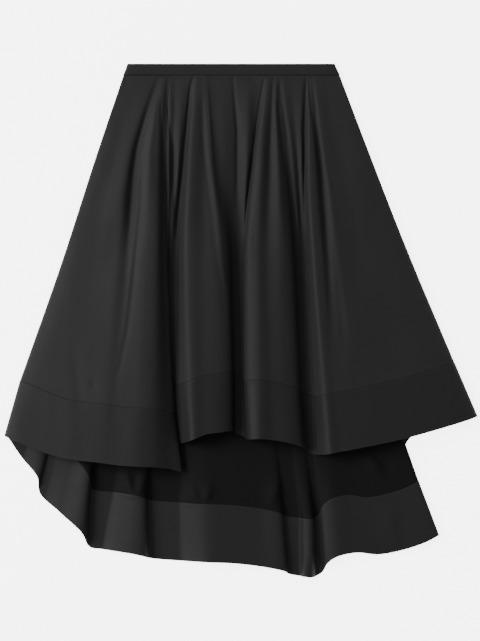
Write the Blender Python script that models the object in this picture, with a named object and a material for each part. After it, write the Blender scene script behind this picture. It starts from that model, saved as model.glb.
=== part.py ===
"""Pleated satin skirt, short in front and long at the back, laid flat with its front up.

Metres, +Z up. The waist points to +Y, the back panel lies on z = 0 and the origin is under the
middle of the skirt. Each panel of cloth is a loft: a table holds one row for each fold line that
runs from the waistband to the hem, smooth curves are drawn across these lines, and the sheet
through the curves gets its wall, half to each side.
"""

import math
from typing import NamedTuple

import bmesh
import bpy
import numpy as np
from mathutils import Matrix

# Driving dimensions in metres
SEAM_GAP = 0.0003
BAND_SEAM_GAP = 0.0008
WAISTBAND_DEPTH = 0.019
HEM_BAND_DEPTH = 0.099
WAISTBAND_WALL = 0.0026
CLOTH_WALL = 0.0013
HEM_BAND_WALL = 0.0017
SIDE_SEAM_HEIGHT = 0.0033

# Shares of the way from the waistband down to the hem band at which the tables give their sizes
STATIONS = (0.0, 0.275, 0.61, 1.0)
# The back's waves stay low under the front and then rise with this power of the way down
BACK_RISE = 4

# Sheet divisions: curve steps between two fold lines, rows down a panel and down a hem band
STEPS_ACROSS = 2
PANEL_ROWS = 12
BAND_ROWS = 2

# The tables are in millimetres
MM = 0.001

SATIN = (0.0095, 0.0095, 0.0105, 1.0)
SHARP = math.radians(50)

# The heights at which the two panels meet at the side seams
FRONT_SEAM_UP = (SIDE_SEAM_HEIGHT + SEAM_GAP / 2) / MM
BACK_SEAM_UP = (SIDE_SEAM_HEIGHT - SEAM_GAP / 2) / MM
# The back turns up to its side seams on a small round: how far in and how high its middle lies
TURN_IN = 0.6
TURN_UP = 1.5
TURN_FOOT_IN = 2.4


class Fold(NamedTuple):
    """One line down a panel, where the cloth lies, rises, crests, falls or turns under."""

    name: str
    # Place across, from the middle of the waist to the right, at each station and at the hem
    waist: float
    hip: float
    thigh: float
    seam: float
    hem: float
    # How far the hem band's seam lies below the top of the waistband
    drop: float
    # Height of the middle of the wall, at each station and at the hem
    waist_up: float
    hip_up: float
    thigh_up: float
    seam_up: float
    hem_up: float


def inward(side, distance):
    """A side's line moved towards the middle of the panel."""
    *across, drop = side
    return *(place - distance * np.sign(place) for place in across), drop


# A side's place across at each station and at the hem, and the drop to its band seam
LEFT_SIDE = (-182, -230, -286, -357, -384, 537)
RIGHT_SIDE = (184, 235, 299, 379, 418, 508)

FRONT = (
    Fold("left side seam", *LEFT_SIDE, *[FRONT_SEAM_UP] * 5),
    Fold("left side turn", *LEFT_SIDE, 6.0, 6.4, 7.0, 7.5, 7.5),
    Fold("left edge", -175, -221, -275, -343, -371, 543, 6.6, 9.0, 11.5, 13.5, 13.5),
    Fold("left middle", -155, -201, -236, -274, -291, 570, 6.8, 11.0, 18.0, 24.0, 25.0),
    Fold("left inner", -131, -173, -194, -212, -223, 578, 7.6, 15.0, 26.0, 33.0, 34.0),
    Fold("left tuck", -122, -165, -178, -197, -206, 580, 5.0, 10.0, 25.0, 33.5, 35.0),
    Fold("left roll rises", -117, -153, -167, -182, -190, 582, 7.4, 17.0, 29.0, 35.0, 36.0),
    Fold("left roll", -114, -136, -143, -151, -158, 584, 7.8, 22.0, 34.0, 38.0, 38.0),
    Fold("left roll falls", -111, -123, -124, -128, -131, 585, 7.2, 20.0, 31.0, 34.0, 34.0),
    Fold("pleat A wall", -109, -117, -114, -107, -102, 589, 6.4, 13.0, 18.0, 20.0, 20.0),
    Fold("pleat A tip", -107, -113, -107, -98, -85, 595, 5.6, 10.0, 12.8, 13.2, 13.2),
    Fold("pleat A turn", -106, -111.5, -107, -96.5, -83.5, 594, 5.6, 9.6, 11.4, 11.1, 11.1),
    Fold("pleat A return", -105, -110, -107.5, -98, -85, 592, 5.6, 9.2, 10.2, 9.0, 9.0),
    Fold("pleat A middle", -102, -106, -108, -112, -112, 581, 6.6, 13.0, 8.8, 9.0, 9.0),
    Fold("pleat A under", -95, -100, -108, -123, -133, 571, 5.6, 9.4, 7.8, 9.0, 9.0),
    Fold("pleat A under turn", -93, -98, -107.5, -124.5, -134.5, 569, 5.6, 9.6, 6.6, 7.1, 7.1),
    Fold("pleat A below", -83, -90, -106, -123, -133, 566, 6.8, 13.0, 5.2, 5.2, 5.2),
    Fold("pleat A floor", -66, -82, -92, -94, -88, 547, 5.0, 8.0, 5.0, 5.0, 5.0),
    Fold("inner left wall", -63, -77, -85, -85, -77, 544, 6.4, 13.0, 18.0, 20.0, 20.0),
    Fold("inner left roll", -58, -71, -76, -70, -65, 539, 7.8, 21.0, 34.0, 38.0, 39.0),
    Fold("inner left flat", -48, -46, -46, -46, -44, 530, 6.2, 17.0, 31.0, 36.0, 37.0),
    Fold("inner left tuck", -41, -33, -15, -15, -17, 526, 7.8, 19.0, 30.0, 32.0, 33.0),
    Fold("inner left falls", -37, -26, -5, 0, 0, 524, 6.4, 13.0, 22.0, 24.0, 24.0),
    Fold("box pleat left", -15, -7, 0, 4, 5, 525, 6.6, 10.0, 9.0, 9.0, 9.0),
    Fold("box pleat crease", 3, 10, 6, 8, 8, 529, 5.0, 6.5, 5.2, 5.2, 5.2),
    Fold("box pleat floor", 7, 14, 16, 19, 22, 534, 5.4, 7.0, 5.2, 5.2, 5.2),
    Fold("box pleat right", 29, 27, 20, 21, 25, 537, 7.0, 12.0, 8.0, 8.0, 8.0),
    Fold("inner right wall", 53, 36, 22, 23, 27, 538, 5.0, 8.0, 12.0, 14.0, 14.0),
    Fold("inner right rises", 57, 41, 28, 29, 33, 538, 7.4, 18.0, 30.0, 33.0, 34.0),
    Fold("inner right roll", 63, 51, 44, 46, 47, 537, 8.0, 23.0, 36.0, 41.0, 42.0),
    Fold("inner right flat", 71, 65, 62, 68, 71, 539, 6.0, 16.0, 31.0, 36.0, 36.0),
    Fold("inner right tuck", 75, 80, 85, 90, 97, 544, 7.6, 20.0, 31.0, 32.0, 32.0),
    Fold("inner right falls", 78, 90, 103, 112, 119, 551, 6.6, 14.0, 22.0, 23.0, 23.0),
    Fold("pleat C wall", 82, 98, 111, 121, 128, 558, 5.4, 8.5, 9.0, 9.0, 9.0),
    Fold("pleat C crease", 87, 105, 119, 128, 133, 561, 6.8, 12.0, 6.0, 5.4, 5.4),
    Fold("pleat C floor", 100, 113, 123, 133, 138, 564, 5.6, 8.0, 5.2, 5.2, 5.2),
    Fold("pleat C facet", 122, 120, 129, 139, 143, 565, 6.8, 11.0, 6.0, 6.0, 6.0),
    Fold("right roll wall", 128, 124, 132, 144, 148, 565, 5.0, 8.0, 12.0, 14.0, 14.0),
    Fold("right roll", 133, 131, 141, 158, 167, 563, 7.6, 20.0, 34.0, 38.0, 39.0),
    Fold("right roll falls", 135, 141, 153, 175, 184, 559, 7.4, 19.0, 32.0, 36.0, 37.0),
    Fold("right tuck", 138, 150, 165, 189, 197, 557, 5.4, 12.0, 26.0, 35.0, 36.0),
    Fold("right inner", 142, 160, 180, 209, 218, 553, 7.6, 18.0, 27.5, 33.0, 34.0),
    Fold("right middle", 158, 187, 224, 274, 294, 539, 6.8, 13.0, 20.0, 25.0, 26.0),
    Fold("right edge", 178, 226, 287, 366, 404, 513, 6.6, 9.0, 11.5, 13.5, 13.5),
    Fold("right side turn", *RIGHT_SIDE, 6.0, 6.4, 7.0, 7.5, 7.5),
    Fold("right side seam", *RIGHT_SIDE, *[FRONT_SEAM_UP] * 5),
)

# A height of 0 lies flat on the surface
BACK = (
    Fold("left side seam", *LEFT_SIDE, *[BACK_SEAM_UP] * 5),
    Fold("left side turn", *inward(LEFT_SIDE, TURN_IN), *[TURN_UP] * 5),
    Fold("left side foot", *inward(LEFT_SIDE, TURN_FOOT_IN), 0, 0, 0, 0, 0),
    Fold("left edge", -175, -216, -267, -333, -357, 571, 0, 0, 0, 0, 0),
    Fold("left flare", -165, -204, -248, -304, -328, 607, 0, 0, 0, 2, 9),
    Fold("left flare foot", -162, -199, -241, -298, -325, 634, 0, 0, 0, 0, 0),
    Fold("wave 1 rises", -149, -182, -220, -268, -292, 664, 0, 0, 0, 5, 10),
    Fold("wave 1", -138, -167, -199, -241, -252, 698, 0, 0, 0, 14, 20),
    Fold("hollow 1", -135, -163, -194, -235, -240, 722, 0, 0, 0, 0, 0),
    Fold("hollow 1 end", -120, -143, -170, -203, -221, 727, 0, 0, 0, 0, 0),
    Fold("wave 2 rises", -112, -133, -155, -185, -203, 729, 0, 0, 0, 7, 10),
    Fold("wave 2", -96, -114, -133, -160, -165, 733, 0, 0, 0, 15, 20),
    Fold("wave 2 edge", -89, -105, -122, -147, -147, 737, 0, 0, 0, 14, 18),
    Fold("hollow 2", -85, -99, -115, -138, -136, 741, 0, 0, 0, 0, 0),
    Fold("hollow 2 end", -59, -67, -77, -90, -88, 745, 0, 0, 0, 0, 0),
    Fold("wave 3 rises", -50, -56, -62, -72, -66, 746, 0, 0, 0, 9, 10),
    Fold("wave 3", -37, -39, -42, -45, -40, 747, 0, 0, 0, 17, 19),
    Fold("wave 3 middle", -16, -11, -7, 0, 5, 749, 0, 0, 0, 15, 17),
    Fold("wave 3 falls", 5, 18, 32, 50, 55, 755, 0, 0, 0, 12, 14),
    Fold("wave 3 edge", 20, 37, 57, 84, 92, 763, 0, 0, 0, 11, 13),
    Fold("hollow 3", 25, 43, 64, 93, 99, 768, 0, 0, 0, 0, 1),
    Fold("hollow 3 end", 36, 58, 83, 116, 117, 771, 0, 0, 0, 0, 1),
    Fold("narrow wave rises", 40, 63, 90, 124, 125, 772, 0, 0, 0, 9, 13),
    Fold("narrow wave", 45, 70, 100, 136, 137, 773, 0, 0, 0, 12, 16),
    Fold("narrow wave ends", 51, 76, 107, 144, 147, 770, 0, 0, 0, 1, 2),
    Fold("hollow 4", 55, 80, 112, 150, 156, 764, 0, 0, 0, 0, 0),
    Fold("wave 4 rises", 58, 85, 117, 156, 163, 750, 0, 0, 0, 8, 11),
    Fold("wave 4", 64, 94, 128, 172, 180, 738, 0, 0, 0, 13, 16),
    Fold("wave 4 falls", 70.5, 107, 147, 200, 214, 732, 0, 0, 1.5, 9, 11),
    Fold("wave 4 ends", 76, 117, 165, 231, 250, 736, 0, 0, 3.5, 7, 8),
    Fold("right rise", 85, 131, 189, 270, 296, 729, 0, 2.6, 5.8, 6.8, 7),
    Fold("right overlap", 94, 141, 209, 303, 335, 717, 0, 5.4, 6.6, 7.1, 7.1),
    Fold("overlap edge", 100, 147, 222, 316, 351, 709, 0, 6.4, 6.8, 7.0, 7.0),
    Fold("overlap turn", 103, 151, 224, 318, 353, 708, 0, 5.6, 5.4, 5.4, 5.4),
    Fold("overlap back", 106, 155, 222, 316, 351, 706, 0, 4.8, 4.0, 3.8, 3.8),
    Fold("overlap under", 114, 161, 206, 268, 278, 702, 0, 2.4, 3.5, 3.8, 3.8),
    Fold("overlap under turn", 118, 165, 205, 266.5, 276.5, 701, 0, 1.5, 2.2, 2.3, 2.3),
    Fold("overlap below", 122, 169, 207, 268, 278, 699, 0, 0, 0, 0, 0),
    Fold("right floor low", 130, 174, 226, 278, 290, 572, 0, 0, 0, 0, 0),
    Fold("right floor inner", 137, 184, 238, 291, 305, 537, 0, 0, 0, 0, 0),
    Fold("right floor", 155, 202, 260, 326, 355, 517, 0, 0, 0, 0, 0),
    Fold("right edge", 175, 224, 287, 366, 403, 512, 0, 0, 0, 0, 0),
    Fold("right side foot", *inward(RIGHT_SIDE, TURN_FOOT_IN), 0, 0, 0, 0, 0),
    Fold("right side turn", *inward(RIGHT_SIDE, TURN_IN), *[TURN_UP] * 5),
    Fold("right side seam", *RIGHT_SIDE, *[BACK_SEAM_UP] * 5),
)


class Waist(NamedTuple):
    """One line down the waistband: its place across at the top and bottom edge, and its height."""

    name: str
    top: float
    bottom: float
    up: float


WAISTBAND_FRONT = (
    Waist("left side seam", -175, -182, FRONT_SEAM_UP),
    Waist("left side turn", -174.4, -181.4, 5.2),
    Waist("left edge", -172, -179, 6.2),
    Waist("left", -100, -104, 6.2),
    Waist("middle", 0, 0, 6.2),
    Waist("right", 100, 105, 6.2),
    Waist("right edge", 172, 181, 6.2),
    Waist("right side turn", 174.4, 183.4, 5.2),
    Waist("right side seam", 175, 184, FRONT_SEAM_UP),
)
WAISTBAND_BACK = (
    Waist("left side seam", -175, -182, BACK_SEAM_UP),
    Waist("left side turn", -174.4, -181.4, 1.8),
    Waist("left side foot", -172.4, -179.4, 0),
    Waist("middle", 0, 0, 0),
    Waist("right side foot", 172.4, 181.4, 0),
    Waist("right side turn", 174.4, 183.4, 1.8),
    Waist("right side seam", 175, 184, BACK_SEAM_UP),
)


def smooth_value(stations, values, at):
    """The value at a place between stations, on a smooth curve that never overshoots them."""
    stations = np.asarray(stations, float)
    values = np.asarray(values, float)
    slopes = np.diff(values) / np.diff(stations)
    tangents = np.concatenate([slopes[:1], np.zeros(len(values) - 2), slopes[-1:]])
    for i in range(1, len(values) - 1):
        if slopes[i - 1] * slopes[i] > 0:
            tangents[i] = 2 / (1 / slopes[i - 1] + 1 / slopes[i])
    i = int(np.clip(np.searchsorted(stations, at) - 1, 0, len(slopes) - 1))
    step = stations[i + 1] - stations[i]
    t = (at - stations[i]) / step
    return (
        values[i] * (1 + 2 * t) * (1 - t) ** 2
        + tangents[i] * step * t * (1 - t) ** 2
        + values[i + 1] * (3 - 2 * t) * t**2
        + tangents[i + 1] * step * t**2 * (t - 1)
    )


def curve_through(points, steps):
    """Points on one smooth curve through the given ones, with the same steps in each stretch."""
    chords = np.diff(points, axis=0)
    knots = np.sqrt(np.linalg.norm(chords, axis=1))[:, None]
    speeds = chords / knots
    inner = (speeds[:-1] * knots[1:] + speeds[1:] * knots[:-1]) / (knots[:-1] + knots[1:])
    tangents = np.vstack([speeds[:1], inner, speeds[-1:]])
    curve = []
    for i, knot in enumerate(knots):
        for t in np.arange(steps) / steps:
            curve.append(
                points[i] * (1 + 2 * t) * (1 - t) ** 2
                + tangents[i] * knot * t * (1 - t) ** 2
                + points[i + 1] * (3 - 2 * t) * t**2
                + tangents[i + 1] * knot * t**2 * (t - 1)
            )
    curve.append(points[-1])
    return np.array(curve)


def fold_point(fold, way, rise):
    """A fold line's point in millimetres: way is 0 at the waistband, 1 at the band seam and 2 at
    the hem. With a rise over 1, the heights keep their thigh value longer and then go up fast."""
    if way > 1:
        return band_point(fold, way - 1)
    across = smooth_value(STATIONS, (fold.waist, fold.hip, fold.thigh, fold.seam), way)
    top = (WAISTBAND_DEPTH + SEAM_GAP) / MM
    down = top + way * (fold.drop - top)
    thigh = STATIONS[2]
    if rise > 1 and way > thigh:
        lift = ((way - thigh) / (1 - thigh)) ** rise
        return across, -down, fold.thigh_up + lift * (fold.seam_up - fold.thigh_up)
    heights = (fold.waist_up, fold.hip_up, fold.thigh_up, fold.seam_up)
    return across, -down, smooth_value(STATIONS, heights, way)


def band_point(fold, share):
    """The point at a share of the hem band, which is cut equally deep all round."""
    sideways = fold.hem - fold.seam
    down = fold.drop + share * ((HEM_BAND_DEPTH / MM) ** 2 - sideways**2) ** 0.5
    return fold.seam + share * sideways, -down, fold.seam_up + share * (fold.hem_up - fold.seam_up)


def waist_point(line, way):
    across = line.top + way * (line.bottom - line.top)
    return across, -way * WAISTBAND_DEPTH / MM, line.up


def sheet(rows):
    """A grid of points in metres, with a smooth curve across each row of points."""
    return np.array([curve_through(np.array(row) * MM, STEPS_ACROSS) for row in rows])


def unit(vectors):
    return vectors / np.linalg.norm(vectors, axis=-1, keepdims=True)


def faces_up(grid):
    """The sheet's direction at each point. The side seams' ends are level, so that they meet."""
    normals = unit(np.cross(np.gradient(grid, axis=0), np.gradient(grid, axis=1)))
    normals[:, (0, -1), 2] = 0
    return unit(normals)


def satin(name, roughness):
    """Black satin with a soft gloss."""
    material = bpy.data.materials.new(name)
    material.use_nodes = True
    shader = material.node_tree.nodes["Principled BSDF"]
    shader.inputs["Base Color"].default_value = SATIN
    shader.inputs["Roughness"].default_value = roughness
    shader.inputs["Metallic"].default_value = 0.0
    return material


def cloth(name, grid, normals, wall, roughness=0.42):
    """One piece of cloth: a wall with half its thickness on each side of the grid. Where the
    grid would be lower, it lies on the surface."""
    grid = grid.copy()
    grid[..., 2] = np.maximum(grid[..., 2], wall / 2)
    mesh = bmesh.new()
    layers = []
    for side in (wall / 2, -wall / 2):
        points = grid + side * normals
        points[..., 2] = np.maximum(points[..., 2], 0)
        layers.append([[mesh.verts.new(point) for point in row] for row in points])
    outer, inner = layers
    rows, columns = len(outer), len(outer[0])
    for i in range(rows - 1):
        for j in range(columns - 1):
            mesh.faces.new((outer[i][j], outer[i + 1][j], outer[i + 1][j + 1], outer[i][j + 1]))
            mesh.faces.new((inner[i][j], inner[i][j + 1], inner[i + 1][j + 1], inner[i + 1][j]))
    edge = [edge for edge in mesh.edges if edge.is_boundary]
    bmesh.ops.bridge_loops(mesh, edges=edge)
    bmesh.ops.recalc_face_normals(mesh, faces=mesh.faces)
    data = bpy.data.meshes.new(name)
    mesh.to_mesh(data)
    mesh.free()
    data.shade_smooth()
    data.set_sharp_from_angle(angle=SHARP)
    data.materials.append(satin(f"{name} satin", roughness))
    piece = bpy.data.objects.new(name, data)
    bpy.context.scene.collection.objects.link(piece)
    return piece


def panel_and_band(side, folds, rise=1):
    """A panel from the waistband to the band seam, and the hem band below it."""
    ways = [*np.linspace(0, 1, PANEL_ROWS + 1), *np.linspace(1, 2, BAND_ROWS + 1)[1:]]
    grid = sheet([[fold_point(fold, way, rise) for fold in folds] for way in ways])
    normals = faces_up(grid)
    band = grid[PANEL_ROWS:].copy()
    band[0] += BAND_SEAM_GAP * unit(band[1] - band[0])
    return (
        cloth(f"skirt_{side}", grid[: PANEL_ROWS + 1], normals[: PANEL_ROWS + 1], CLOTH_WALL),
        cloth(f"hem_band_{side}", band, normals[PANEL_ROWS:], HEM_BAND_WALL),
    )


def waistband(side, lines):
    grid = sheet([[waist_point(line, way) for line in lines] for way in (0, 0.5, 1)])
    return cloth(f"waistband_{side}", grid, faces_up(grid), WAISTBAND_WALL)


def centre(pieces):
    """Moves the skirt so that the origin is under the middle of its box."""
    corners = np.array([vertex.co for piece in pieces for vertex in piece.data.vertices])
    middle = (corners.min(axis=0) + corners.max(axis=0)) / 2
    shift = Matrix.Translation((-middle[0], -middle[1], 0))
    for piece in pieces:
        piece.data.transform(shift)


def build():
    for thing in list(bpy.data.objects):
        bpy.data.objects.remove(thing, do_unlink=True)
    centre(
        [
            waistband("front", WAISTBAND_FRONT),
            waistband("back", WAISTBAND_BACK),
            *panel_and_band("front", FRONT),
            *panel_and_band("back", BACK, BACK_RISE),
        ]
    )


build()
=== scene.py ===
# %% [markdown]
# # A pleated satin skirt, laid flat
# The skirt is black satin: a narrow waistband, a front that is pleated into it and opens in long
# rolls, a longer back, and a doubled band along each hem. It lies on its back on a pale surface and
# is looked at from straight above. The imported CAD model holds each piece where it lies, and here
# each one gets thin cloth, creases, seams and the gloss of satin.

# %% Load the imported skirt
import math
from typing import NamedTuple

import bpy
import numpy as np
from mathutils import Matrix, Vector, noise


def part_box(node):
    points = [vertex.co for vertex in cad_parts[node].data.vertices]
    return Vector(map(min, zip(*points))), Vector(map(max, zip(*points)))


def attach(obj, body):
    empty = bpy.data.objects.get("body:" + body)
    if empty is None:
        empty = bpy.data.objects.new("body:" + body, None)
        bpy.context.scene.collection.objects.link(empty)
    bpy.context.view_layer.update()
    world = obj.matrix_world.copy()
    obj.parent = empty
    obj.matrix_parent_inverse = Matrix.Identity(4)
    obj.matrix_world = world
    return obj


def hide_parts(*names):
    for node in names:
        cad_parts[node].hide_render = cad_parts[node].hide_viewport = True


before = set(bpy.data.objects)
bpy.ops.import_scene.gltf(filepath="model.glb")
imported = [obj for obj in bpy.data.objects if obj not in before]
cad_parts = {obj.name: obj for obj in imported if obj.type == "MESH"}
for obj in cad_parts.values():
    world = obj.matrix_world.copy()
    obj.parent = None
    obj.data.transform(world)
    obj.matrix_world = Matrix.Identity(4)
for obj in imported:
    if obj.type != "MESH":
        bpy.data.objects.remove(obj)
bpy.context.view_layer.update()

# %% [markdown]
# ## The place where the measuring starts
# A pattern cutter measures a skirt from the middle of its waist: so far to the side and so far
# down, in millimetres. The waistband's own box says where that point lies in the frame, so all the
# tables below can be read as a cutter would write them.

# %% Find the middle of the waist
MM = 0.001
WAISTBAND_DEPTH = 19
# The waistband's lower corners lie 182 mm to the left and 184 mm to the right of the middle
WAISTBAND_FOOT_LEFT = -182
WAISTBAND_FOOT_RIGHT = 184
low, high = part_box("waistband_front")
WAIST_MIDDLE = Vector(
    (
        (low.x + high.x) / 2 - (WAISTBAND_FOOT_LEFT + WAISTBAND_FOOT_RIGHT) / 2 * MM,
        high.y,
        0,
    )
)
print("the middle of the waist:", [round(value, 4) for value in WAIST_MIDDLE])

# %% [markdown]
# ## The camera
# Nothing in the picture gets smaller with distance and the waist is dead straight, so it was taken
# from straight above with a long lens. A camera 5 m up does the same. Its lens is worked out from
# the height of the surface that the picture covers.

# %% Set up the camera
CAMERA_HEIGHT = 5.0
# The picture is 480 by 641 and shows 1.7 mm of the surface in each step
VIEW_HEIGHT = 641 * 1.7 * MM
VIEW_MIDDLE = (-0.0017, 0.0003)
SENSOR_HEIGHT = 36.0

camera_data = bpy.data.cameras.new("camera above")
camera_data.sensor_fit = "VERTICAL"
camera_data.sensor_height = SENSOR_HEIGHT
camera_data.lens = SENSOR_HEIGHT * CAMERA_HEIGHT / VIEW_HEIGHT
camera = bpy.data.objects.new("camera above", camera_data)
camera.location = (*VIEW_MIDDLE, CAMERA_HEIGHT)
bpy.context.scene.collection.objects.link(camera)
bpy.context.scene.camera = camera
print("the lens is", round(camera_data.lens), "mm long")

# %% [markdown]
# ## The light
# Black satin shows its folds only by what it reflects. A wide soft light low on the left makes the
# left flank of each roll brighter and leaves the hollows and the right flanks dark. Two weak lights,
# beyond the waist and on the right, and the even light of the room keep the rest from going black.

# %% Hang the soft lights
# The powers are in watts
KEY_POWER = 165
TOP_POWER = 6
FILL_POWER = 5
ROOM_LIGHT = 0.6


def soft_light(name, place, size, power):
    """A square area light of a size in metres that faces the middle of the skirt."""
    data = bpy.data.lights.new(name, "AREA")
    data.shape = "SQUARE"
    data.size = size
    data.energy = power
    light = bpy.data.objects.new(name, data)
    light.location = place
    light.rotation_euler = Vector(place).to_track_quat("Z", "Y").to_euler()
    bpy.context.scene.collection.objects.link(light)
    return light


soft_light("key from the left", (-2.8, 0.6, 2.0), 1.7, KEY_POWER)
soft_light("from beyond the waist", (-0.4, 3.0, 2.4), 1.6, TOP_POWER)
soft_light("fill from the right", (3.0, 0.3, 2.4), 1.6, FILL_POWER)

room = bpy.data.worlds.new("even light of the room")
room.use_nodes = True
room.node_tree.nodes["Background"].inputs["Color"].default_value = (1, 1, 1, 1)
room.node_tree.nodes["Background"].inputs["Strength"].default_value = ROOM_LIGHT
bpy.context.scene.world = room

# %% [markdown]
# ## Two helpers for materials
# Colours are written as on a paint card, in sRGB hex, and turned to the linear numbers that shaders
# work with. Nodes are added by one function, which also sets and links them.


# %% Helpers for colours and nodes
def colour(hex_code):
    """An sRGB hex colour as linear red, green, blue and alpha."""
    channels = [int(hex_code[i : i + 2], 16) / 255 for i in (1, 3, 5)]
    linear = [c / 12.92 if c <= 0.04045 else ((c + 0.055) / 1.055) ** 2.4 for c in channels]
    return (*linear, 1.0)


def add_node(material, kind, settings=(), links=()):
    """Adds a node. Settings name a property or an input, and links give an input's source."""
    node = material.node_tree.nodes.new(kind)
    for name, value in dict(settings).items():
        if hasattr(node, name):
            setattr(node, name, value)
        else:
            node.inputs[name].default_value = value
    for name, source in dict(links).items():
        material.node_tree.links.new(source, node.inputs[name])
    return node


print("black satin in linear light:", [round(value, 4) for value in colour("#1f1f20")])

# %% [markdown]
# ## The surface
# The skirt lies on a smooth pale table top, which is nearly white in the photo. A light that makes
# a board white would also turn the black satin grey, so the board glows of its own, as a light
# table does. It is large enough that its edges never show.

# %% Make the table top
BOARD_GLOW = 5.0
BOARD_WIDTH = 14
# How far the board's top lies below the cloth, so that the two never touch
BOARD_DROP = 0.3 * MM
# Painted board: matt emulsion, so its reflection is broad and weak
board = bpy.data.materials.new("matt painted board")
board.use_nodes = True
board_shader = board.node_tree.nodes["Principled BSDF"]
board_shader.inputs["Base Color"].default_value = colour("#f1f1f1")
board_shader.inputs["Roughness"].default_value = 0.9
board_shader.inputs["Specular IOR Level"].default_value = 0.1
board_shader.inputs["Emission Color"].default_value = colour("#ffffff")
board_shader.inputs["Emission Strength"].default_value = BOARD_GLOW

bpy.ops.object.select_all(action="DESELECT")
bpy.ops.mesh.primitive_plane_add(size=BOARD_WIDTH, location=(0, 0, -BOARD_DROP))
table_top = bpy.context.object
table_top.name = "table_top"
table_top.data.materials.append(board)
print("the table top is", table_top.dimensions.x, "m wide")

# %% [markdown]
# ## Black satin
# Satin is woven so that long loose threads cover one face. They lie side by side and reflect as one
# smooth surface with a broad soft gloss. Its wrong side shows the short threads and is duller. The
# threads are about 0.1 mm apart, far too fine to show here, so the weave is drawn at 0.9 mm and very
# faint, and slubs, which are thicker places in the yarn, at about 12 mm. The patterns follow the
# cloth through its UV map, which is in metres.


# %% Make the satins
THREAD_SPACING = 0.9 * MM
SLUB_LENGTH = 12 * MM
# A wave texture of scale 1 repeats after this many metres
WAVE_REPEAT = 0.314
# How far slubs make the cloth rougher or smoother, and lighter or darker
ROUGHNESS_SPREAD = 0.03
DYE_SPREAD = 0.1


def satin(name, hex_code, roughness, gloss):
    """A satin whose threads and slubs follow the cloth."""
    material = bpy.data.materials.new(name)
    material.use_nodes = True
    shader = material.node_tree.nodes["Principled BSDF"]
    shader.inputs["IOR"].default_value = 1.5
    shader.inputs["Specular IOR Level"].default_value = gloss
    place = add_node(material, "ShaderNodeUVMap", {"uv_map": "UVMap"}).outputs["UV"]
    threads = add_node(
        material,
        "ShaderNodeTexWave",
        {"wave_type": "BANDS", "bands_direction": "X", "Scale": WAVE_REPEAT / THREAD_SPACING},
        {"Vector": place},
    )
    stretched = add_node(
        material, "ShaderNodeMapping", {"Scale": (0.25, 1.0, 1.0)}, {"Vector": place}
    )
    slubs = add_node(
        material,
        "ShaderNodeTexNoise",
        {"Scale": 1 / SLUB_LENGTH, "Detail": 3.0, "Roughness": 0.6},
        {"Vector": stretched.outputs["Vector"]},
    )
    shades = add_node(
        material,
        "ShaderNodeMapRange",
        {
            "From Min": 0.3,
            "From Max": 0.7,
            "To Min": roughness - ROUGHNESS_SPREAD,
            "To Max": roughness + ROUGHNESS_SPREAD,
        },
        {"Value": slubs.outputs["Fac"]},
    )
    dye = add_node(material, "ShaderNodeValToRGB", links={"Fac": slubs.outputs["Fac"]})
    darker, lighter = dye.color_ramp.elements
    darker.color = [(1 - DYE_SPREAD) * c for c in colour(hex_code)[:3]] + [1]
    lighter.color = [(1 + DYE_SPREAD) * c for c in colour(hex_code)[:3]] + [1]
    slub_relief = add_node(
        material,
        "ShaderNodeBump",
        {"Strength": 0.10, "Distance": 0.4 * MM},
        {"Height": slubs.outputs["Fac"]},
    )
    weave_relief = add_node(
        material,
        "ShaderNodeBump",
        {"Strength": 0.05, "Distance": 0.1 * MM},
        {"Height": threads.outputs["Fac"], "Normal": slub_relief.outputs["Normal"]},
    )
    links = material.node_tree.links
    links.new(dye.outputs["Color"], shader.inputs["Base Color"])
    links.new(shades.outputs["Result"], shader.inputs["Roughness"])
    links.new(weave_relief.outputs["Normal"], shader.inputs["Normal"])
    return material


# Polyester duchess satin, woven and calendered: dense black with a broad soft gloss
panel_satin = satin("duchess satin", "#1f1f20", 0.72, 0.17)
# The same satin on the bands, doubled and pressed, so a little glossier
# Its darker colour is painted shade on the bands and the waistband
band_satin_painted_darker = satin("pressed duchess satin with painted shade", "#1b1b1c", 0.66, 0.17)
# The wrong side of the satin, seen inside the back: short threads, so it is duller.
# Its much darker colour is painted shade, for the shadow under the front's hem
inside_satin_painted_darker = satin("wrong side of satin with painted shade", "#0e0e0f", 0.75, 0.10)
print("satins:", panel_satin.name, band_satin_painted_darker.name, inside_satin_painted_darker.name)

# %% [markdown]
# ## How a panel is described
# A pleated panel is a fan of fold lines that run from the waistband to the hem. Each row of the
# tables is one such line: how far from the middle it lies at the waist, at the hip, at the thigh,
# at the band's seam and at the hem, how far down the band's seam is, and how high the cloth lies
# there. Rows that come back on themselves are cloth that turns under in a pleat. These are the
# sizes of the solid model, so the thin cloth lies where the solid is.


# %% Say what a fold is
class Fold(NamedTuple):
    """A fold line in millimetres: places across, the drop to the band seam, and heights."""

    name: str
    waist: float
    hip: float
    thigh: float
    seam: float
    hem: float
    drop: float
    waist_up: float
    hip_up: float
    thigh_up: float
    seam_up: float
    hem_up: float


# Shares of the way from the waistband to the band seam at which the tables give their sizes
STATIONS = (0.0, 0.275, 0.61, 1.0)
HEM_BAND_DEPTH = 99
SEAM_UP_FRONT = 3.45
SEAM_UP_BACK = 3.15
LEFT_SIDE = (-182, -230, -286, -357, -384, 537)
RIGHT_SIDE = (184, 235, 299, 379, 418, 508)


def inward(side, distance):
    """A side's line moved towards the middle of the panel."""
    *across, drop = side
    return *(place - distance * np.sign(place) for place in across), drop


print("the side seams are", LEFT_SIDE[-1], "and", RIGHT_SIDE[-1], "mm down at the band")

# %% [markdown]
# ## The front's fold lines
# From the left: a flat panel, a tuck and a full roll, a pleat whose edge folds back over a deep
# hollow, the inner left roll, a box pleat in the middle, the inner right roll, a second hollow,
# the right roll with its tuck, and a flat panel again. The two halves aren't alike, because the
# pleats fell differently when the skirt was laid down.

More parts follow.
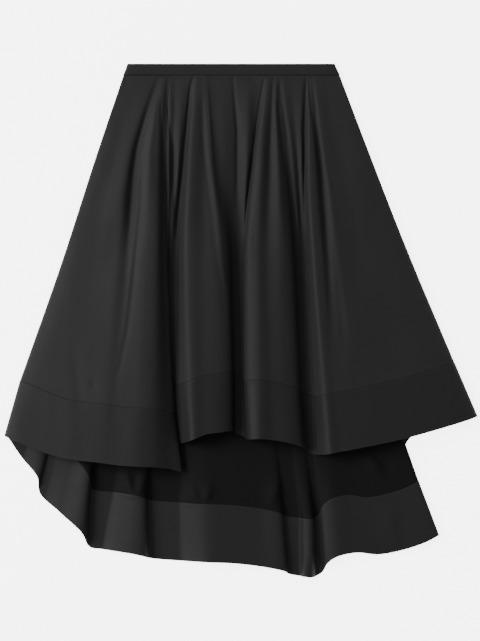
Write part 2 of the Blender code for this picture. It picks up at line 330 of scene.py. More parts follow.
# %% List the front's fold lines
FRONT = (
    Fold("left side seam", *LEFT_SIDE, *[SEAM_UP_FRONT] * 5),
    Fold("left side turn", *LEFT_SIDE, 6.0, 6.4, 7.0, 7.5, 7.5),
    Fold("left edge", -175, -221, -275, -343, -371, 543, 6.6, 9.0, 11.5, 13.5, 13.5),
    Fold("left middle", -155, -201, -236, -274, -291, 570, 6.8, 11.0, 18.0, 24.0, 25.0),
    Fold("left inner", -131, -173, -194, -212, -223, 578, 7.6, 15.0, 26.0, 33.0, 34.0),
    Fold("left tuck", -122, -165, -178, -197, -206, 580, 5.0, 10.0, 25.0, 33.5, 35.0),
    Fold("left roll rises", -117, -153, -167, -182, -190, 582, 7.4, 17.0, 29.0, 35.0, 36.0),
    Fold("left roll", -114, -136, -143, -151, -158, 584, 7.8, 22.0, 34.0, 38.0, 38.0),
    Fold("left roll falls", -111, -123, -124, -128, -131, 585, 7.2, 20.0, 31.0, 34.0, 34.0),
    Fold("pleat A wall", -109, -117, -114, -107, -102, 589, 6.4, 13.0, 18.0, 20.0, 20.0),
    Fold("pleat A tip", -107, -113, -107, -98, -85, 595, 5.6, 10.0, 12.8, 13.2, 13.2),
    Fold("pleat A turn", -106, -111.5, -107, -96.5, -83.5, 594, 5.6, 9.6, 11.4, 11.1, 11.1),
    Fold("pleat A return", -105, -110, -107.5, -98, -85, 592, 5.6, 9.2, 10.2, 9.0, 9.0),
    Fold("pleat A middle", -102, -106, -108, -112, -112, 581, 6.6, 13.0, 8.8, 9.0, 9.0),
    Fold("pleat A under", -95, -100, -108, -123, -133, 571, 5.6, 9.4, 7.8, 9.0, 9.0),
    Fold("pleat A under turn", -93, -98, -107.5, -124.5, -134.5, 569, 5.6, 9.6, 6.6, 7.1, 7.1),
    Fold("pleat A below", -83, -90, -106, -123, -133, 566, 6.8, 13.0, 5.2, 5.2, 5.2),
    Fold("pleat A floor", -66, -82, -92, -94, -88, 547, 5.0, 8.0, 5.0, 5.0, 5.0),
    Fold("inner left wall", -63, -77, -85, -85, -77, 544, 6.4, 13.0, 18.0, 20.0, 20.0),
    Fold("inner left roll", -58, -71, -76, -70, -65, 539, 7.8, 21.0, 34.0, 38.0, 39.0),
    Fold("inner left flat", -48, -46, -46, -46, -44, 530, 6.2, 17.0, 31.0, 36.0, 37.0),
    Fold("inner left tuck", -41, -33, -15, -15, -17, 526, 7.8, 19.0, 30.0, 32.0, 33.0),
    Fold("inner left falls", -37, -26, -5, 0, 0, 524, 6.4, 13.0, 22.0, 24.0, 24.0),
    Fold("box pleat left", -15, -7, 0, 4, 5, 525, 6.6, 10.0, 9.0, 9.0, 9.0),
    Fold("box pleat crease", 3, 10, 6, 8, 8, 529, 5.0, 6.5, 5.2, 5.2, 5.2),
    Fold("box pleat floor", 7, 14, 16, 19, 22, 534, 5.4, 7.0, 5.2, 5.2, 5.2),
    Fold("box pleat right", 29, 27, 20, 21, 25, 537, 7.0, 12.0, 8.0, 8.0, 8.0),
    Fold("inner right wall", 53, 36, 22, 23, 27, 538, 5.0, 8.0, 12.0, 14.0, 14.0),
    Fold("inner right rises", 57, 41, 28, 29, 33, 538, 7.4, 18.0, 30.0, 33.0, 34.0),
    Fold("inner right roll", 63, 51, 44, 46, 47, 537, 8.0, 23.0, 36.0, 41.0, 42.0),
    Fold("inner right flat", 71, 65, 62, 68, 71, 539, 6.0, 16.0, 31.0, 36.0, 36.0),
    Fold("inner right tuck", 75, 80, 85, 90, 97, 544, 7.6, 20.0, 31.0, 32.0, 32.0),
    Fold("inner right falls", 78, 90, 103, 112, 119, 551, 6.6, 14.0, 22.0, 23.0, 23.0),
    Fold("pleat C wall", 82, 98, 111, 121, 128, 558, 5.4, 8.5, 9.0, 9.0, 9.0),
    Fold("pleat C crease", 87, 105, 119, 128, 133, 561, 6.8, 12.0, 6.0, 5.4, 5.4),
    Fold("pleat C floor", 100, 113, 123, 133, 138, 564, 5.6, 8.0, 5.2, 5.2, 5.2),
    Fold("pleat C facet", 122, 120, 129, 139, 143, 565, 6.8, 11.0, 6.0, 6.0, 6.0),
    Fold("right roll wall", 128, 124, 132, 144, 148, 565, 5.0, 8.0, 12.0, 14.0, 14.0),
    Fold("right roll", 133, 131, 141, 158, 167, 563, 7.6, 20.0, 34.0, 38.0, 39.0),
    Fold("right roll falls", 135, 141, 153, 175, 184, 559, 7.4, 19.0, 32.0, 36.0, 37.0),
    Fold("right tuck", 138, 150, 165, 189, 197, 557, 5.4, 12.0, 26.0, 35.0, 36.0),
    Fold("right inner", 142, 160, 180, 209, 218, 553, 7.6, 18.0, 27.5, 33.0, 34.0),
    Fold("right middle", 158, 187, 224, 274, 294, 539, 6.8, 13.0, 20.0, 25.0, 26.0),
    Fold("right edge", 178, 226, 287, 366, 404, 513, 6.6, 9.0, 11.5, 13.5, 13.5),
    Fold("right side turn", *RIGHT_SIDE, 6.0, 6.4, 7.0, 7.5, 7.5),
    Fold("right side seam", *RIGHT_SIDE, *[SEAM_UP_FRONT] * 5),
)
print("the front has", len(FRONT), "fold lines")

# %% [markdown]
# ## The back's fold lines
# The back lies flat on the table under the front, so most of its heights are 0. Below the front's
# hem, where nothing weighs on it, it rises in low waves: a flare at the left, four waves with
# hollows between, and at the right one overlap where the cloth was folded over itself.

# %% List the back's fold lines
# The waves stay low under the front and rise with this power of the way down
BACK_RISE = 4
BACK = (
    Fold("left side seam", *LEFT_SIDE, *[SEAM_UP_BACK] * 5),
    Fold("left side turn", *inward(LEFT_SIDE, 0.6), *[1.5] * 5),
    Fold("left side foot", *inward(LEFT_SIDE, 2.4), 0, 0, 0, 0, 0),
    Fold("left edge", -175, -216, -267, -333, -357, 571, 0, 0, 0, 0, 0),
    Fold("left flare", -165, -204, -248, -304, -328, 607, 0, 0, 0, 2, 9),
    Fold("left flare foot", -162, -199, -241, -298, -325, 634, 0, 0, 0, 0, 0),
    Fold("wave 1 rises", -149, -182, -220, -268, -292, 664, 0, 0, 0, 5, 10),
    Fold("wave 1", -138, -167, -199, -241, -252, 698, 0, 0, 0, 14, 20),
    Fold("hollow 1", -135, -163, -194, -235, -240, 722, 0, 0, 0, 0, 0),
    Fold("hollow 1 end", -120, -143, -170, -203, -221, 727, 0, 0, 0, 0, 0),
    Fold("wave 2 rises", -112, -133, -155, -185, -203, 729, 0, 0, 0, 7, 10),
    Fold("wave 2", -96, -114, -133, -160, -165, 733, 0, 0, 0, 15, 20),
    Fold("wave 2 edge", -89, -105, -122, -147, -147, 737, 0, 0, 0, 14, 18),
    Fold("hollow 2", -85, -99, -115, -138, -136, 741, 0, 0, 0, 0, 0),
    Fold("hollow 2 end", -59, -67, -77, -90, -88, 745, 0, 0, 0, 0, 0),
    Fold("wave 3 rises", -50, -56, -62, -72, -66, 746, 0, 0, 0, 9, 10),
    Fold("wave 3", -37, -39, -42, -45, -40, 747, 0, 0, 0, 17, 19),
    Fold("wave 3 middle", -16, -11, -7, 0, 5, 749, 0, 0, 0, 15, 17),
    Fold("wave 3 falls", 5, 18, 32, 50, 55, 755, 0, 0, 0, 12, 14),
    Fold("wave 3 edge", 20, 37, 57, 84, 92, 763, 0, 0, 0, 11, 13),
    Fold("hollow 3", 25, 43, 64, 93, 99, 768, 0, 0, 0, 0, 1),
    Fold("hollow 3 end", 36, 58, 83, 116, 117, 771, 0, 0, 0, 0, 1),
    Fold("narrow wave rises", 40, 63, 90, 124, 125, 772, 0, 0, 0, 9, 13),
    Fold("narrow wave", 45, 70, 100, 136, 137, 773, 0, 0, 0, 12, 16),
    Fold("narrow wave ends", 51, 76, 107, 144, 147, 770, 0, 0, 0, 1, 2),
    Fold("hollow 4", 55, 80, 112, 150, 156, 764, 0, 0, 0, 0, 0),
    Fold("wave 4 rises", 58, 85, 117, 156, 163, 750, 0, 0, 0, 8, 11),
    Fold("wave 4", 64, 94, 128, 172, 180, 738, 0, 0, 0, 13, 16),
    Fold("wave 4 falls", 70.5, 107, 147, 200, 214, 732, 0, 0, 1.5, 9, 11),
    Fold("wave 4 ends", 76, 117, 165, 231, 250, 736, 0, 0, 3.5, 7, 8),
    Fold("right rise", 85, 131, 189, 270, 296, 729, 0, 2.6, 5.8, 6.8, 7),
    Fold("right overlap", 94, 141, 209, 303, 335, 717, 0, 5.4, 6.6, 7.1, 7.1),
    Fold("overlap edge", 100, 147, 222, 316, 351, 709, 0, 6.4, 6.8, 7.0, 7.0),
    Fold("overlap turn", 103, 151, 224, 318, 353, 708, 0, 5.6, 5.4, 5.4, 5.4),
    Fold("overlap back", 106, 155, 222, 316, 351, 706, 0, 4.8, 4.0, 3.8, 3.8),
    Fold("overlap under", 114, 161, 206, 268, 278, 702, 0, 2.4, 3.5, 3.8, 3.8),
    Fold("overlap under turn", 118, 165, 205, 266.5, 276.5, 701, 0, 1.5, 2.2, 2.3, 2.3),
    Fold("overlap below", 122, 169, 207, 268, 278, 699, 0, 0, 0, 0, 0),
    Fold("right floor low", 130, 174, 226, 278, 290, 572, 0, 0, 0, 0, 0),
    Fold("right floor inner", 137, 184, 238, 291, 305, 537, 0, 0, 0, 0, 0),
    Fold("right floor", 155, 202, 260, 326, 355, 517, 0, 0, 0, 0, 0),
    Fold("right edge", 175, 224, 287, 366, 403, 512, 0, 0, 0, 0, 0),
    Fold("right side foot", *inward(RIGHT_SIDE, 2.4), 0, 0, 0, 0, 0),
    Fold("right side turn", *inward(RIGHT_SIDE, 0.6), *[1.5] * 5),
    Fold("right side seam", *RIGHT_SIDE, *[SEAM_UP_BACK] * 5),
)
print("the back has", len(BACK), "fold lines")

# %% [markdown]
# ## From fold lines to a sheet of points
# Down each fold line the sizes follow a smooth curve that never swings past the numbers in the
# table. Across the panel another smooth curve runs through the fold lines. Where two fold lines
# are far apart the cloth gets more steps, so that creases have points to bend at.


# %% Curves down and across the cloth
def down_curve(values, ways):
    """Values at the stations, folds by stations, as a smooth curve at each of the ways."""
    stations = np.array(STATIONS)
    values = np.array(values, float)
    slopes = np.diff(values) / np.diff(stations)
    left, right = slopes[:, :-1], slopes[:, 1:]
    same_way = left * right > 0
    safe = np.where(same_way, left * right, 1)
    middle = np.where(same_way, 2 * safe / np.where(same_way, left + right, 1), 0)
    tangents = np.hstack([slopes[:, :1], middle, slopes[:, -1:]])
    part = np.clip(np.searchsorted(stations, ways) - 1, 0, len(stations) - 2)
    step = (stations[part + 1] - stations[part])[:, None]
    t = (np.asarray(ways)[:, None] - stations[part][:, None]) / step
    return (
        values[:, part].T * (1 + 2 * t) * (1 - t) ** 2
        + tangents[:, part].T * step * t * (1 - t) ** 2
        + values[:, part + 1].T * (3 - 2 * t) * t**2
        + tangents[:, part + 1].T * step * t**2 * (t - 1)
    )


def across_curve(points, steps):
    """One smooth curve through each row of points, with the given steps between fold lines."""
    chords = np.diff(points, axis=1)
    knots = np.sqrt(np.linalg.norm(chords, axis=2))[..., None]
    speeds = chords / knots
    before, after = knots[:, :-1], knots[:, 1:]
    inner = (speeds[:, :-1] * after + speeds[:, 1:] * before) / (before + after)
    tangents = np.concatenate([speeds[:, :1], inner, speeds[:, -1:]], axis=1)
    columns = []
    for i, count in enumerate(steps):
        for t in np.arange(count) / count:
            columns.append(
                points[:, i] * (1 + 2 * t) * (1 - t) ** 2
                + tangents[:, i] * knots[:, i] * t * (1 - t) ** 2
                + points[:, i + 1] * (3 - 2 * t) * t**2
                + tangents[:, i + 1] * knots[:, i] * t**2 * (t - 1)
            )
    columns.append(points[:, -1])
    return np.stack(columns, axis=1)


print("a curve from 0 to 3 is", round(down_curve([[0, 1, 2, 3]], [0.5])[0, 0], 2), "halfway")

# %% [markdown]
# ## The rows and columns of a panel
# The rows of points lie close together at the two seams, where the cloth bends most sharply, and
# 3 to 5 mm apart elsewhere. The panel and its band come from one sheet, so they meet exactly.

# %% Lay the sheet of a panel and its band
# The length down a panel that its rows are spaced on
PANEL_LENGTH = 540
SEAM_GAP = 0.3
# The columns of points between two fold lines: none further apart than this, and this many or more
LONGEST_STEP = 3.9
FEWEST_STEPS = 3
# The pleats are pressed flat where they are sewn into the waistband
PRESSED_HEIGHT = 6.2


def close_at_ends(length, step, end, end_step):
    """Shares of a length: small steps over the first and last stretch, larger ones between."""
    fine = np.arange(0, end, end_step)
    count = round((length - 2 * end) / step)
    places = np.concatenate([fine, np.linspace(end, length - end, count + 1), length - fine[::-1]])
    return places / length


PANEL_WAYS = close_at_ends(PANEL_LENGTH, 5.0, 8, 1.0)
BAND_SHARES = close_at_ends(HEM_BAND_DEPTH, 3.2, 6, 0.8)


def fold_values(folds, *names):
    return [[getattr(fold, name) for name in names] for fold in folds]


def panel_points(folds, rise):
    """Points in millimetres at each panel row and fold line: across, up the skirt, and height."""
    ways = PANEL_WAYS
    across = down_curve(fold_values(folds, "waist", "hip", "thigh", "seam"), ways)
    heights = np.array(fold_values(folds, "waist_up", "hip_up", "thigh_up", "seam_up"), float)
    if rise == 1:
        heights[:, 0] = np.where(heights[:, 0] > SEAM_UP_FRONT, PRESSED_HEIGHT, heights[:, 0])
    up = down_curve(heights, ways)
    if rise > 1:
        thigh = STATIONS[2]
        lift = np.clip((ways - thigh) / (1 - thigh), 0, 1)[:, None] ** rise
        late = np.array([fold.thigh_up for fold in folds])
        gain = np.array([fold.seam_up - fold.thigh_up for fold in folds])
        up = np.where(ways[:, None] > thigh, late + lift * gain, up)
    top = WAISTBAND_DEPTH + SEAM_GAP
    drops = np.array([fold.drop for fold in folds])
    down = top + ways[:, None] * (drops - top)
    return np.stack([across, -down, up], axis=2)


def band_points(folds):
    """Points of the hem band, which is cut equally deep all round."""
    shares = BAND_SHARES[:, None]
    seam, hem, drop, seam_up, hem_up = np.array(
        fold_values(folds, "seam", "hem", "drop", "seam_up", "hem_up")
    ).T
    down = drop + shares * np.sqrt(HEM_BAND_DEPTH**2 - (hem - seam) ** 2)
    return np.stack([seam + shares * (hem - seam), -down, seam_up + shares * (hem_up - seam_up)], 2)


def panel_sheet(folds, rise=1):
    """The smooth sheet of a panel with its band, and how many of its rows are the panel's."""
    points = np.concatenate([panel_points(folds, rise), band_points(folds)[1:]])
    chords = np.linalg.norm(np.diff(points, axis=1), axis=2).max(axis=0)
    steps = np.maximum(FEWEST_STEPS, np.ceil(chords / LONGEST_STEP)).astype(int)
    return across_curve(points, steps), len(PANEL_WAYS)


front_sheet, panel_rows = panel_sheet(FRONT)
back_sheet, _ = panel_sheet(BACK, BACK_RISE)
print("front sheet:", front_sheet.shape, "back sheet:", back_sheet.shape, "panel rows:", panel_rows)

# %% [markdown]
# ## Creases
# Between the folds the cloth has smaller creases, soft ones where a pleat fades out and sharp ones
# where the cloth was pressed. Each is a line with a width, and a depth at each of its points: below
# 0 for a trough and above 0 for a ridge. It fades to nothing at its ends. Layers that lie on each
# other get the same crease, as real ones do. Cloth leans over its creases, so a trough's right wall
# and a ridge's left one are gentler than the other, and creases are narrower near the waistband,
# where the cloth is held.


# %% Press creases into a sheet
class Crease(NamedTuple):
    """A crease's width and its line of points: across, down from the waist, and depth."""

    name: str
    width: float
    line: tuple


# How many times wider the gentle side is
GENTLE_SIDE = 2.2
# The share of its width that a crease has at the waist, the least and most it ever has, and the
# length over which it gains one full width
WAIST_SHARE = 0.45
LEAST_SHARE = 0.5
MOST_SHARE = 1.1
WIDENING_LENGTH = 350
# Dents are this many times longer down the cloth than across
DENT_STRETCH = 2.2


def press(sheet, creases):
    """Lifts or lowers the sheet's points along each crease."""
    places = np.stack([sheet[..., 0], -sheet[..., 1]], axis=2)
    lifts = np.zeros(sheet.shape[:2])
    for crease in creases:
        line = np.array(crease.line, float)
        nearest = np.full(lifts.shape, np.inf)
        depth = np.zeros(lifts.shape)
        right = np.zeros(lifts.shape, bool)
        for start, end in zip(line[:-1], line[1:]):
            run = end[:2] - start[:2]
            share = np.clip(((places - start[:2]) @ run) / (run @ run), 0, 1)
            away = places - start[:2] - share[..., None] * run
            gap = np.linalg.norm(away, axis=2)
            closer = gap < nearest
            depth = np.where(closer, start[2] + share * (end[2] - start[2]), depth)
            right = np.where(closer, away @ (run[1], -run[0]) > 0, right)
            nearest = np.minimum(nearest, gap)
        share = WAIST_SHARE + places[..., 1] / WIDENING_LENGTH
        width = crease.width * np.clip(share, LEAST_SHARE, MOST_SHARE)
        width = np.where(right == (depth < 0), GENTLE_SIDE * width, width)
        lifts += depth * np.exp(-((nearest / width) ** 2))
    sheet = sheet.copy()
    sheet[..., 2] += lifts
    return sheet


def soften(sheet, size, depth, seed):
    """Gives the sheet the shallow uneven dents of cloth that has been handled."""
    shape = sheet.shape[:2]
    dents = [
        noise.noise(Vector((x / size, y / (DENT_STRETCH * size), seed)))
        for x, y in sheet[..., :2].reshape(-1, 2)
    ]
    sheet = sheet.copy()
    sheet[..., 2] += depth * np.array(dents).reshape(shape)
    return sheet


print("a crease is a trough below 0 and a ridge above it")

# %% [markdown]
# ## The creases of the front
# The fold lines above give the rolls and hollows. These are the thin creases on them: the uneven
# line below the waistband where the pleats pull on it, then from left to right the pressed edges of
# the pleats, the long creases that run down the rolls, and the soft dents that the cloth keeps from
# being folded.

# %% List the front's creases
FRONT_CREASES = (
    Crease("waist pull left", 3.4, ((-126, 22, 0), (-112, 23.5, -0.8), (-92, 24.5, -1.2), (-70, 24, -1.4),
                                    (-52, 23, -1.2), (-42, 24.5, 0))),
    Crease("waist pull middle", 3.4, ((-44, 21.5, 0), (-30, 23, -1.2), (-6, 24.5, -1.4), (14, 23.5, -1.2),
                                      (36, 25.5, -1.4), (58, 24, 0))),
    Crease("waist pull right", 3.4, ((48, 22, 0), (66, 24, -1.2), (90, 23, -1.2), (108, 24.5, -0.8),
                                     (122, 23, 0))),
    Crease("left tuck", 7, ((-124, 27, -0.6), (-143, 78, -1.4), (-153, 112, -2), (-162, 146, -2.4),
                            (-168, 197, -3), (-170, 248, -2.4), (-172, 300, -1), (-176, 340, 0))),
    Crease("left roll shoulder", 6, ((-126, 50, 0), (-129, 78, 1.4), (-138, 146, 1.6),
                                     (-138, 197, 1), (-139, 240, 0))),
    Crease("left roll crease", 3.6, ((-150, 150, 0), (-151, 197, -2.2), (-153, 248, -2.6),
                                     (-160, 316, -2.4), (-167, 384, -2.4), (-175, 452, -2.2),
                                     (-187, 512, -1.2), (-190, 530, 0))),
    Crease("left roll crease edge", 4, ((-145, 160, 0), (-145, 197, 0.5), (-147, 248, 0.7),
                                        (-154, 316, 0.7), (-161, 384, 0.7), (-169, 452, 0.6),
                                        (-181, 512, 0.5), (-185, 530, 0))),
    Crease("pleat A shade", 3.4, ((-119, 60, 0), (-119, 78, -2), (-116, 146, -3), (-112, 248, -2),
                                  (-110, 300, 0))),
    Crease("pleat A edge", 3.2, ((-118, 62, 0), (-115, 90, 0.8), (-109, 146, 1.6), (-105, 197, 1.8),
                                 (-103, 248, 1.4), (-99, 300, 0))),
    Crease("pleat A inner", 3.4, ((-109, 60, 0), (-106, 90, -2), (-100, 146, -3), (-98, 197, -3),
                                  (-94, 248, -2), (-92, 300, 0))),
    Crease("inner left foot", 4, ((-65, 24, -1), (-70, 44, -2), (-73, 78, -3), (-78, 146, -3),
                                  (-83, 197, -3), (-88, 248, -2), (-90, 300, 0))),
    Crease("inner left trough", 8, ((-48, 44, 0), (-48, 78, -1.4), (-46, 146, -1.6), (-46, 248, -1.2),
                                    (-46, 330, 0))),
    Crease("inner left line", 2.8, ((-46, 36, 0.3), (-43, 78, 0.8), (-39, 146, 1.0), (-31, 197, 1.2),
                                    (-24, 248, 1.4), (-17, 316, 1.4), (-7, 384, 1.2), (-2, 452, 0.7),
                                    (0, 500, 0))),
    Crease("inner left line shade", 4, ((-52, 60, 0), (-48, 120, -0.8), (-39, 197, -1.2),
                                        (-32, 248, -1.4), (-25, 316, -1.4), (-15, 384, -1),
                                        (-9, 452, 0))),
    Crease("box pleat left crease", 3, ((3, 24, -1), (7, 78, -2.4), (10, 112, -2.6), (10, 197, -2.4),
                                        (9, 260, 0))),
    Crease("box pleat facet", 9, ((30, 40, 0), (30, 78, 1.4), (35, 146, 1.6), (24, 197, 1.2),
                                  (19, 248, 0))),
    Crease("box pleat right crease", 3.4, ((56, 26, -1), (54, 37, -2), (48, 78, -3), (39, 146, -3),
                                           (32, 197, -3), (27, 248, -2), (25, 300, 0))),
    Crease("inner right edge", 3, ((56, 60, 0), (51, 112, 1.2), (37, 197, 1.4), (31, 316, 1.2),
                                   (28, 384, 1), (28, 452, 0))),
    Crease("inner right trough", 6, ((71, 30, -1), (70, 78, -1.6), (66, 146, -1.6), (61, 248, -1.2),
                                     (60, 330, 0))),
    Crease("inner right line", 3.6, ((74, 50, 0), (75, 78, 1.2), (78, 146, 1.5), (85, 248, 1.2),
                                     (90, 316, 0))),
    Crease("pleat C outer crease", 4, ((82, 34, -1), (80, 78, -2.4), (88, 146, -2.8), (97, 197, -2.6),
                                       (104, 248, -2.2), (109, 316, -1.6), (112, 380, 0))),
    Crease("pleat C line", 3, ((85, 70, 0), (90, 112, 1.4), (104, 197, 1.6), (112, 248, 1.4),
                               (117, 316, 0))),
    Crease("right roll foot", 3.4, ((127, 28, -1), (126, 44, -2), (122, 112, -2.6), (124, 160, -1.6),
                                    (126, 200, 0))),
    Crease("right roll crease", 3.8, ((133, 28, -1), (133, 37, -2), (136, 78, -3), (146, 146, -3.2),
                                      (153, 197, -3.2), (158, 260, -3), (160, 316, -2.6),
                                      (167, 452, -1.6), (170, 500, 0))),
    Crease("right roll edge", 5, ((138, 50, 0), (141, 78, 1.2), (155, 146, 1.6), (172, 248, 1.5),
                                  (190, 384, 1.4), (206, 500, 0))),
    Crease("right second crease", 5, ((168, 270, 0), (175, 316, -1.6), (189, 452, -2), (196, 495, 0))),
    Crease("right panel shade", 13, ((145, 80, 0), (153, 112, -1.4), (172, 197, -2), (185, 248, -2),
                                     (202, 316, -1.6), (222, 390, 0))),
    Crease("left tuck foot", 9, ((-170, 200, 0), (-170, 225, -2.4), (-168, 270, -2.4),
                                 (-166, 310, 0))),
    Crease("left panel dent", 14, ((-190, 250, 0), (-196, 282, -2), (-204, 333, -2), (-208, 370, 0))),
    Crease("left hem dent", 7, ((-268, 488, 0), (-262, 515, -1), (-258, 545, -1.4), (-255, 572, -0.6),
                                (-256, 590, 0))),
    Crease("left hem dent edge", 7, ((-250, 500, 0), (-247, 540, 0.5), (-245, 572, 0))),
    Crease("left hem nick", 3.4, ((-232, 530, 0), (-234, 545, -1.2), (-237, 560, 0))),
)

front_sheet = soften(front_sheet, 55, 1.6, 3.7)
front_sheet = soften(front_sheet, 22, 0.35, 8.1)
front_sheet = press(front_sheet, FRONT_CREASES)
print("the front has", len(FRONT_CREASES), "creases")

# %% [markdown]
# ## The creases of the back
# Inside the back, the cloth above the band puckers where it is a little longer than the band that
# it is sewn to, and the band itself has one short sharp crease.

# %% List the back's creases
BACK_CREASES = (
    Crease("pucker 1 left", 5, ((-182, 690, 0), (-172, 715, 4.4), (-166, 740, 0))),
    Crease("pucker 1 right", 5, ((-146, 690, 0), (-152, 718, 4.4), (-160, 742, 0))),
    Crease("pucker 1 hollow", 6, ((-164, 680, 0), (-162, 705, -3), (-164, 725, 0))),
    Crease("pucker 2 left", 5, ((-72, 712, 0), (-62, 730, 4.4), (-52, 746, 0))),
    Crease("pucker 2 right", 5, ((-28, 710, 0), (-38, 730, 4.4), (-46, 747, 0))),
    Crease("pucker 3", 5, ((90, 700, 0), (76, 728, 3.4), (66, 752, 0))),
    Crease("pucker 3 hollow", 5, ((98, 712, 0), (92, 738, -2), (88, 760, 0))),
    Crease("pucker 4", 6, ((222, 660, 0), (244, 680, 4.4), (262, 700, 0))),
    Crease("pucker 4 hollow", 6, ((240, 660, 0), (262, 680, -2), (276, 694, 0))),
    Crease("band crease", 2.6, ((-113, 812, 0), (-107, 826, 1.8), (-97, 840, 1.8), (-90, 848, 0.6))),
    Crease("band crease shade", 3, ((-118, 815, 0), (-113, 828, -1), (-103, 842, -1), (-97, 850, 0))),
    Crease("narrow wave lowers", 9, ((136, 835, 0), (138, 856, -3.5), (139, 876, -6))),
    Crease("right band highlight", 9, ((264, 742, 0), (272, 780, 1.8), (277, 815, 1), (280, 830, 0))),
)

back_sheet = soften(back_sheet, 60, 1.2, 14.2)
back_sheet = press(back_sheet, BACK_CREASES)
print("the back has", len(BACK_CREASES), "creases")

# %% [markdown]
# ## Seams
# Along a seam the stitches pull the cloth down into a fine groove, and beside it the folded seam
# allowance underneath holds it up in a low ridge. The distances are measured from the seam, and
# each row of points is lifted along the way that the cloth faces.


# %% Pull the seams down
RIDGE_WIDTH = 2.2


def facing(sheet):
    """The way that the sheet faces at each point."""
    normals = np.cross(np.gradient(sheet, axis=0), np.gradient(sheet, axis=1))
    return normals / np.linalg.norm(normals, axis=2, keepdims=True)


def seam_relief(distance, groove, groove_width, ridge, ridge_place):
    """How far a seam lifts the cloth at each distance from it, in millimetres."""
    sunk = groove * np.exp(-((distance / groove_width) ** 2))
    raised = ridge * np.exp(-(((distance - ridge_place) / RIDGE_WIDTH) ** 2))
    return raised - sunk


def lift_rows(sheet, lifts):
    """Moves each row of points by its lift along the way that the cloth faces."""
    return sheet + facing(sheet) * np.asarray(lifts)[:, None, None]


below_waist = PANEL_WAYS * PANEL_LENGTH
above_band = (1 - PANEL_WAYS) * PANEL_LENGTH
below_seam = BAND_SHARES * HEM_BAND_DEPTH
panel_lifts = seam_relief(above_band, 0.5, 0.9, 0.12, 4.0)
panel_lifts += seam_relief(below_waist, 0.5, 1.0, 0.2, 5)
band_lifts = seam_relief(below_seam, 0.5, 0.9, 0.2, 3.2)
all_lifts = np.concatenate([panel_lifts, band_lifts[1:]])
front_sheet = lift_rows(front_sheet, all_lifts)
back_sheet = lift_rows(back_sheet, 0.6 * all_lifts)
print("the seam groove is", round(-panel_lifts.min(), 2), "mm deep")

# %% [markdown]
# ## A piece of cloth from a sheet of points
# A grid of the right number of faces is added, its points are put on the sheet, and its UV map is
# measured along the cloth, so that a weave keeps its size where the cloth turns under. Solidify
# gives it a wall and Bevel rounds its edges. The sheet lies on the middle of the wall.

# %% Make cloth pieces
# Where the cloth's underside would be lower than this, it lies on the table
FLOOR_CLEARANCE = 0.15
# The share of the wall by which its edges are rounded
EDGE_SHARE = 0.28
EDGE_ANGLE = math.radians(75)
SMOOTH_ANGLE = math.radians(60)


def cloth(name, node, sheet, wall, material):
    """A piece of cloth with its wall half to each side of the sheet, in the frame's metres."""
    sheet = sheet.copy()
    sheet[..., 2] = np.maximum(sheet[..., 2], wall / 2 + FLOOR_CLEARANCE)
    rows, columns = sheet.shape[:2]
    bpy.ops.object.select_all(action="DESELECT")
    bpy.ops.mesh.primitive_grid_add(x_subdivisions=columns - 1, y_subdivisions=rows - 1, size=1)
    piece = bpy.context.object
    piece.name = name
    piece.data.name = name
    # A grid's points run from its near left corner, and the sheet's from the waist
    points = sheet[::-1] * MM + np.array(WAIST_MIDDLE)
    piece.data.vertices.foreach_set("co", points.astype(np.float32).ravel())

    along = np.linalg.norm(np.diff(points, axis=1), axis=2)
    across = np.hstack([np.zeros((rows, 1)), np.cumsum(along, axis=1)])
    across -= across[:, columns // 2, None]
    places = np.stack([across, points[..., 1]], axis=2).reshape(-1, 2)
    corners = np.zeros(len(piece.data.loops), int)
    piece.data.loops.foreach_get("vertex_index", corners)
    piece.data.uv_layers["UVMap"].data.foreach_set("uv", places[corners].astype(np.float32).ravel())
    piece.data.update()

    solid = piece.modifiers.new("wall", "SOLIDIFY")
    solid.thickness = wall * MM
    solid.offset = 0
    edges = piece.modifiers.new("rounded edges", "BEVEL")
    edges.width = EDGE_SHARE * wall * MM
    edges.segments = 2
    edges.limit_method = "ANGLE"
    edges.angle_limit = EDGE_ANGLE
    for modifier in [solid.name, edges.name]:
        bpy.ops.object.modifier_apply(modifier=modifier)
    bpy.ops.object.shade_smooth_by_angle(angle=SMOOTH_ANGLE)
    piece.data.materials.append(material)
    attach(piece, "root")
    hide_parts(node)
    triangles = sum(len(face.vertices) - 2 for face in piece.data.polygons)
    print(name, "has", triangles, "triangles")
    return piece


PANEL_WALL = 0.7
BAND_WALL = 1.5
front_rows, front_band_rows = front_sheet[:panel_rows], front_sheet[panel_rows - 1 :]
back_rows, back_band_rows = back_sheet[:panel_rows], back_sheet[panel_rows - 1 :]
front_panel = cloth("front_panel", "skirt_front", front_rows, PANEL_WALL, panel_satin)
front_hem_band = cloth("front_hem_band", "hem_band_front", front_band_rows, BAND_WALL, band_satin_painted_darker)
back_panel = cloth("back_panel", "skirt_back", back_rows, PANEL_WALL, inside_satin_painted_darker)
back_hem_band = cloth("back_hem_band", "hem_band_back", back_band_rows, BAND_WALL, band_satin_painted_darker)

# %% [markdown]
# ## The waistband
# The waistband is a straight strip, folded over stiff interlining and stitched to the pleats. It
# lies almost flat and rises a little at its lower edge, where the pleats' ends are sewn in. The back
# half lies flat on the table, and the two halves meet at the side seams.


# %% Shape the waistband
class Waist(NamedTuple):
    """A line down the waistband: its place across at the top and the bottom, and its height."""

    name: str
    top: float
    bottom: float
    up: float


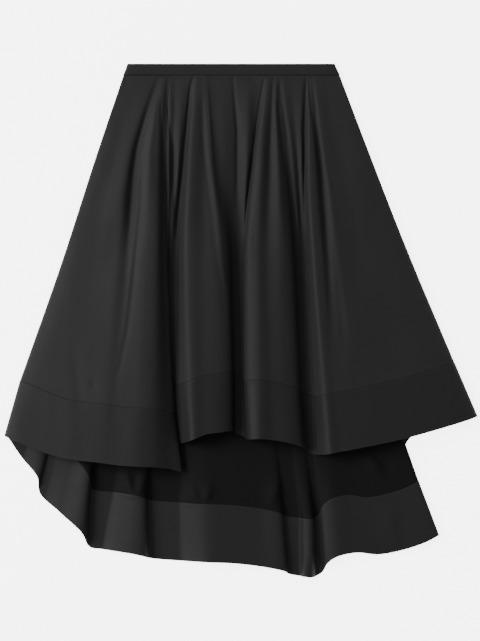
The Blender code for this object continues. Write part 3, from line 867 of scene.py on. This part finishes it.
WAISTBAND_FRONT = (
    Waist("left side seam", -175, -182, SEAM_UP_FRONT),
    Waist("left side turn", -174.4, -181.4, 5.2),
    Waist("left edge", -172, -179, 6.2),
    Waist("left", -100, -104, 6.2),
    Waist("middle", 0, 0, 6.2),
    Waist("right", 100, 105, 6.2),
    Waist("right edge", 172, 181, 6.2),
    Waist("right side turn", 174.4, 183.4, 5.2),
    Waist("right side seam", 175, 184, SEAM_UP_FRONT),
)
WAISTBAND_BACK = (
    Waist("left side seam", -175, -182, SEAM_UP_BACK),
    Waist("left side turn", -174.4, -181.4, 1.8),
    Waist("left side foot", -172.4, -179.4, 0),
    Waist("middle", 0, 0, 0),
    Waist("right side foot", 172.4, 181.4, 0),
    Waist("right side turn", 174.4, 183.4, 1.8),
    Waist("right side seam", 175, 184, SEAM_UP_BACK),
)
WAIST_SHARES = np.linspace(0, 1, 25)
WAIST_STEP = 3
WAIST_RISE = 0.4
WAIST_RISE_WIDTH = 2.4


def waist_sheet(lines):
    """The smooth sheet of half the waistband."""
    shares = WAIST_SHARES[:, None]
    top, bottom, up = np.array([line[1:] for line in lines]).T
    points = np.stack(
        [top + shares * (bottom - top), -shares * WAISTBAND_DEPTH + 0 * top, up + 0 * shares], 2
    )
    chords = np.linalg.norm(np.diff(points, axis=1), axis=2).max(axis=0)
    steps = np.maximum(FEWEST_STEPS, np.ceil(chords / WAIST_STEP)).astype(int)
    return across_curve(points, steps)


def waist_relief(down):
    """A flat strip, raised a little along the lower edge by the pleats' ends inside it."""
    return WAIST_RISE * np.exp(-(((down - WAISTBAND_DEPTH) / WAIST_RISE_WIDTH) ** 2))


waist_lifts = waist_relief(WAIST_SHARES * WAISTBAND_DEPTH)
WAISTBAND_WALL = 2.2
front_waist = lift_rows(waist_sheet(WAISTBAND_FRONT), waist_lifts)
back_waist = waist_sheet(WAISTBAND_BACK)
front_waistband = cloth("front_waistband", "waistband_front", front_waist, WAISTBAND_WALL, band_satin_painted_darker)
back_waistband = cloth("back_waistband", "waistband_back", back_waist, WAISTBAND_WALL, band_satin_painted_darker)

# %% [markdown]
# ## The area of each piece
# Every piece is a sheet of cloth that was flat before it was pleated and laid down. The area of
# one side of each is printed here.


def one_layer(piece):
    """The area of one side of a piece, in square metres."""
    return sum(face.area for face in piece.data.polygons) / 2


PIECES = [front_panel, back_panel, front_hem_band, back_hem_band, front_waistband, back_waistband]
for piece in PIECES:
    print(piece.name, "measures", round(one_layer(piece), 4), "square metres")
